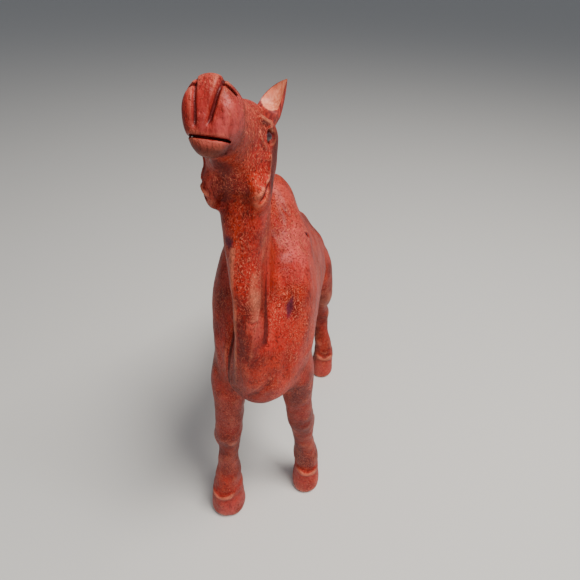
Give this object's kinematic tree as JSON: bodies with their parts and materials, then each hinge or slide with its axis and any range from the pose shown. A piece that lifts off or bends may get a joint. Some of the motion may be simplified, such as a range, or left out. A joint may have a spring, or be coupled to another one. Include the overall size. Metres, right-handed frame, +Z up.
{
  "type": "carved wooden dromedary figure",
  "caption": "Standing dromedary carved in red-stained wood, with an upright neck, raised head with a slit mouth, pricked ears, peaked hump, slender striding legs and flat soles.",
  "frame": {"origin": "middle of the bounding box, on the floor that the feet stand on", "axes": "+Z up, -Y the way the animal faces, +X the animal's left"},
  "size_m": [0.066, 0.1806, 0.2541],
  "materials": {
    "stained_wood": "red-stained close-grained wood, tool marked and waxed to a satin",
    "ear_wood": "thinly stained end grain, matt",
    "eye_wood": "dark stained and polished",
    "dowel_wood": "bare"
  },
  "bodies": {
    "root": {"trunk": "stained_wood", "neck": "stained_wood", "head": "stained_wood", "tail": "stained_wood", "foreleg_left": "stained_wood", "foreleg_right": "stained_wood", "hindleg_left": "stained_wood", "hindleg_right": "stained_wood", "ear_left": "ear_wood", "ear_right": "ear_wood", "eye_left": "eye_wood", "eye_right": "eye_wood", "neck_dowel": "dowel_wood", "head_dowel": "dowel_wood", "foreleg_dowel_left": "dowel_wood", "foreleg_dowel_right": "dowel_wood", "hindleg_dowel_left": "dowel_wood", "hindleg_dowel_right": "dowel_wood"}
  },
  "joints": []
}
